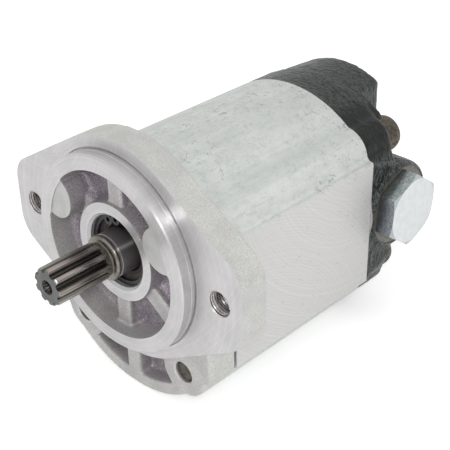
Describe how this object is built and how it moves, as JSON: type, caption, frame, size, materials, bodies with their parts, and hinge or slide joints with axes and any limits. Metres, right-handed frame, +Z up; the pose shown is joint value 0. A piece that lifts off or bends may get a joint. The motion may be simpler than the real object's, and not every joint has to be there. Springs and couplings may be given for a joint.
{
  "type": "hydraulic gear pump",
  "caption": "External gear pump with a two-bolt pilot flange, splined drive shaft, extruded body, side inlet, rear outlet and built-in relief valve.",
  "frame": {"origin": "centre of the pilot on the flange's mounting face", "axes": "-Y along the drive shaft towards its splined end, +X towards the relief valve's hexagon plug, +Z up from the driven gear to the drive shaft"},
  "size_m": [0.1286, 0.1725, 0.1125],
  "materials": {
    "cast_aluminium": "as cast, with machined flange, pilot and hub faces",
    "extruded_aluminium": "extruded, with milled side pads",
    "black_cast_iron": "black paint over a coarse casting",
    "hardened_steel": "hardened and ground",
    "bearing_aluminium": "machined",
    "bearing_bronze": "bored bronze lining",
    "nitrile_rubber": "moulded",
    "spring_steel": "phosphated",
    "zinc_plate": "bright zinc plate",
    "bolt_steel": "black oxide with a knurled head"
  },
  "bodies": {
    "housing": {"front_cover": "cast_aluminium", "pump_body": "extruded_aluminium", "rear_cover": "black_cast_iron", "relief_seat": "hardened_steel", "front_dowel_upper": "hardened_steel", "front_dowel_lower": "hardened_steel", "rear_dowel_upper": "hardened_steel", "rear_dowel_lower": "hardened_steel", "front_bearing_block": "bearing_aluminium", "rear_bearing_block": "bearing_aluminium", "drive_front_bush": "bearing_bronze", "drive_rear_bush": "bearing_bronze", "driven_front_bush": "bearing_bronze", "driven_rear_bush": "bearing_bronze", "shaft_seal": "nitrile_rubber", "front_block_seal": "nitrile_rubber", "rear_block_seal": "nitrile_rubber", "front_body_seal": "nitrile_rubber", "rear_body_seal": "nitrile_rubber", "plug_seal_ring": "nitrile_rubber", "seal_garter_spring": "spring_steel", "seal_retaining_ring": "spring_steel", "relief_spring": "spring_steel", "hex_plug": "zinc_plate", "body_screw_upper_right": "bolt_steel", "body_screw_upper_left": "bolt_steel", "body_screw_lower_right": "bolt_steel", "body_screw_lower_left": "bolt_steel", "screw_washer_upper_right": "bolt_steel", "screw_washer_upper_left": "bolt_steel", "screw_washer_lower_right": "bolt_steel", "screw_washer_lower_left": "bolt_steel"},
    "drive_gear": {"drive_gear_shaft": "hardened_steel"},
    "driven_gear": {"driven_gear_shaft": "hardened_steel"},
    "relief_poppet": {"relief_poppet": "hardened_steel"}
  },
  "joints": [
    {"name": "drive_spin", "type": "hinge", "parent": "housing", "child": "drive_gear", "pos_m": [0, 0, 0], "axis": [0, 1, 0], "continuous": true},
    {"name": "driven_spin", "type": "hinge", "parent": "housing", "child": "driven_gear", "pos_m": [0, 0, -0.0293], "axis": [0, 1, 0], "continuous": true},
    {"name": "poppet_lift", "type": "slide", "parent": "housing", "child": "relief_poppet", "axis": [1, 0, 0], "range_m": [0, 0.0025], "stiffness_N_per_m": 20000, "deforming": ["relief_spring"]}
  ],
  "couplings": [
    {"joint": "driven_spin", "follows": "drive_spin", "ratio": -1}
  ]
}
